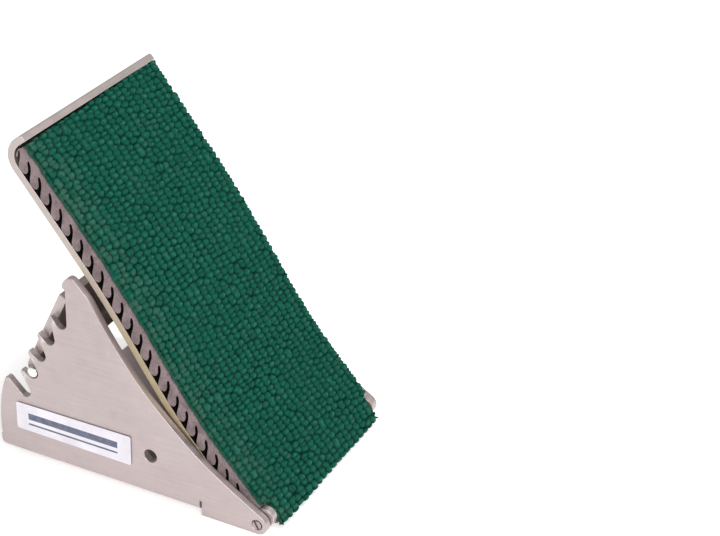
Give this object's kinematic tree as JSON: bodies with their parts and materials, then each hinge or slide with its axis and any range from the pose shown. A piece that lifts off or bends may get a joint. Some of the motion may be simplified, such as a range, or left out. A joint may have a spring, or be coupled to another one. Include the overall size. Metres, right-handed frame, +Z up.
{
  "type": "starting block foot pedal",
  "caption": "Starting block foot pedal: toothed aluminium channel, hinged rubber-faced foot plate and a prop that sets its angle.",
  "frame": {"origin": "middle of the bottom of the bounding box", "axes": "+X across the pedal towards the rail, with the two grooved studs on that side; -Y is the hinge end the foot plate rises from; +Z up, with the channel's floor level"},
  "size_m": [0.1518, 0.1786, 0.2022],
  "materials": {
    "satin_aluminium": "satin",
    "zinc_plate": "bright zinc plate",
    "plain_steel": "turned",
    "green_rubber": "pebbled, matt",
    "grey_rubber": "cellular, matt",
    "label_vinyl": "plain sticker"
  },
  "bodies": {
    "base": {"channel": "satin_aluminium", "side_label": "label_vinyl", "hinge_screw_left": "plain_steel", "hinge_screw_right": "plain_steel", "front_stud": "zinc_plate", "rear_stud": "zinc_plate", "front_stud_flange": "zinc_plate", "rear_stud_flange": "zinc_plate", "front_stud_nut": "zinc_plate", "rear_stud_nut": "zinc_plate"},
    "footplate": {"foot_plate": "satin_aluminium", "rubber_base": "grey_rubber", "rubber_face": "green_rubber", "prop_lug_left": "satin_aluminium", "prop_lug_right": "satin_aluminium", "pivot_pin": "zinc_plate", "pin_ring_left": "plain_steel", "pin_ring_right": "plain_steel"},
    "prop": {"prop_panel": "satin_aluminium", "cross_rod": "zinc_plate"}
  },
  "joints": [
    {"name": "footplate_tilt", "type": "hinge", "parent": "base", "child": "footplate", "pos_m": [-0.00595, -0.07733, 0.006], "axis": [1, 0, 0], "range_deg": [0, 12]},
    {"name": "prop_swing", "type": "hinge", "parent": "footplate", "child": "prop", "pos_m": [-0.00595, 0.03527, 0.108], "axis": [1, 0, 0], "range_deg": [0, 60]}
  ],
  "couplings": [
    {"joint": "prop_swing", "follows": "footplate_tilt", "ratio": 5}
  ]
}
